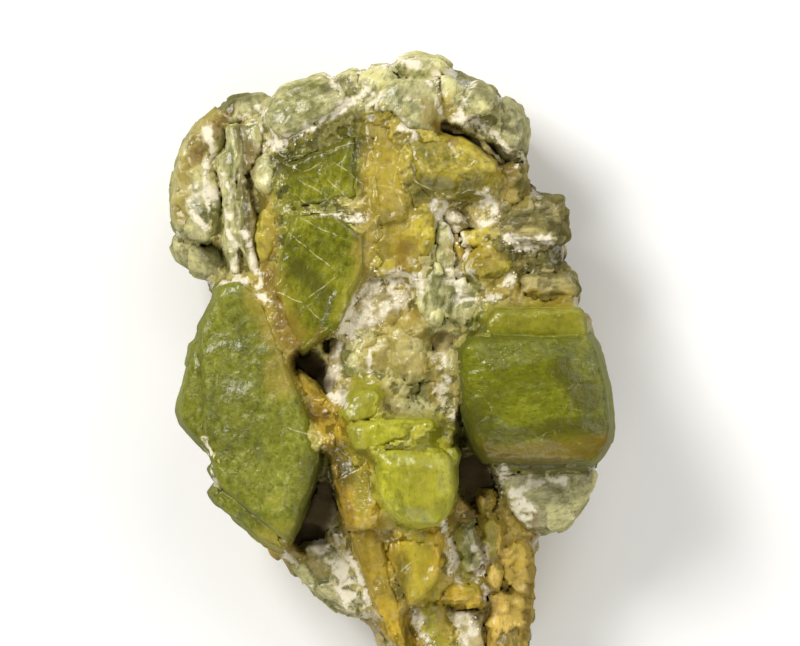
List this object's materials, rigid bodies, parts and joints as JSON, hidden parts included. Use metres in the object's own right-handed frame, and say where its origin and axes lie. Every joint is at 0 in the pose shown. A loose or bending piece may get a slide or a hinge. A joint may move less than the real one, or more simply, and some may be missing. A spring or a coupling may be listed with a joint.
{
  "type": "peridot specimen",
  "caption": "Peridot mineral specimen: stout green and golden olivine crystals intergrown on a pale, crumbly matrix, lying on its flat broken back.",
  "frame": {"origin": "middle of the specimen's box, on the flat broken back that it rests on", "axes": "+Y up the specimen as it is pictured, +X to its right, +Z out of its crystal side"},
  "size_m": [0.0442, 0.0638, 0.0276],
  "materials": {
    "peridot_green": "glassy, olive green",
    "peridot_bright": "glassy, bright yellow-green",
    "peridot_golden": "glassy, golden amber",
    "peridot_pale": "glassy, pale green",
    "peridot_frosted": "frosted, grey green",
    "peridot_brown": "weathered, olive brown",
    "matrix_chalk": "matt, crumbly, chalky white to brown"
  },
  "bodies": {
    "root": {"front_crystal": "peridot_bright", "barrel_crystal": "peridot_green", "left_tablet": "peridot_green", "upper_tablet": "peridot_green", "golden_block": "peridot_golden", "pale_tablet": "peridot_pale", "amber_blade": "peridot_golden", "golden_column": "peridot_golden", "pale_cluster": "peridot_pale", "round_pale_crystal": "peridot_pale", "oval_crystal": "peridot_pale", "golden_wedge": "peridot_golden", "golden_bud": "peridot_golden", "centre_crystal": "peridot_pale", "ledge_stack": "peridot_brown", "olive_columns": "peridot_pale", "frosted_crystal": "peridot_frosted", "brown_columns": "peridot_brown", "brown_prism": "peridot_brown", "lower_wedge": "peridot_frosted", "amber_chip": "peridot_golden", "amber_knob": "peridot_golden", "rim_crystals": "peridot_frosted", "corner_crystal": "peridot_green", "long_columns": "peridot_pale", "grey_end_crystal": "peridot_frosted", "matrix": "matrix_chalk"}
  },
  "joints": []
}
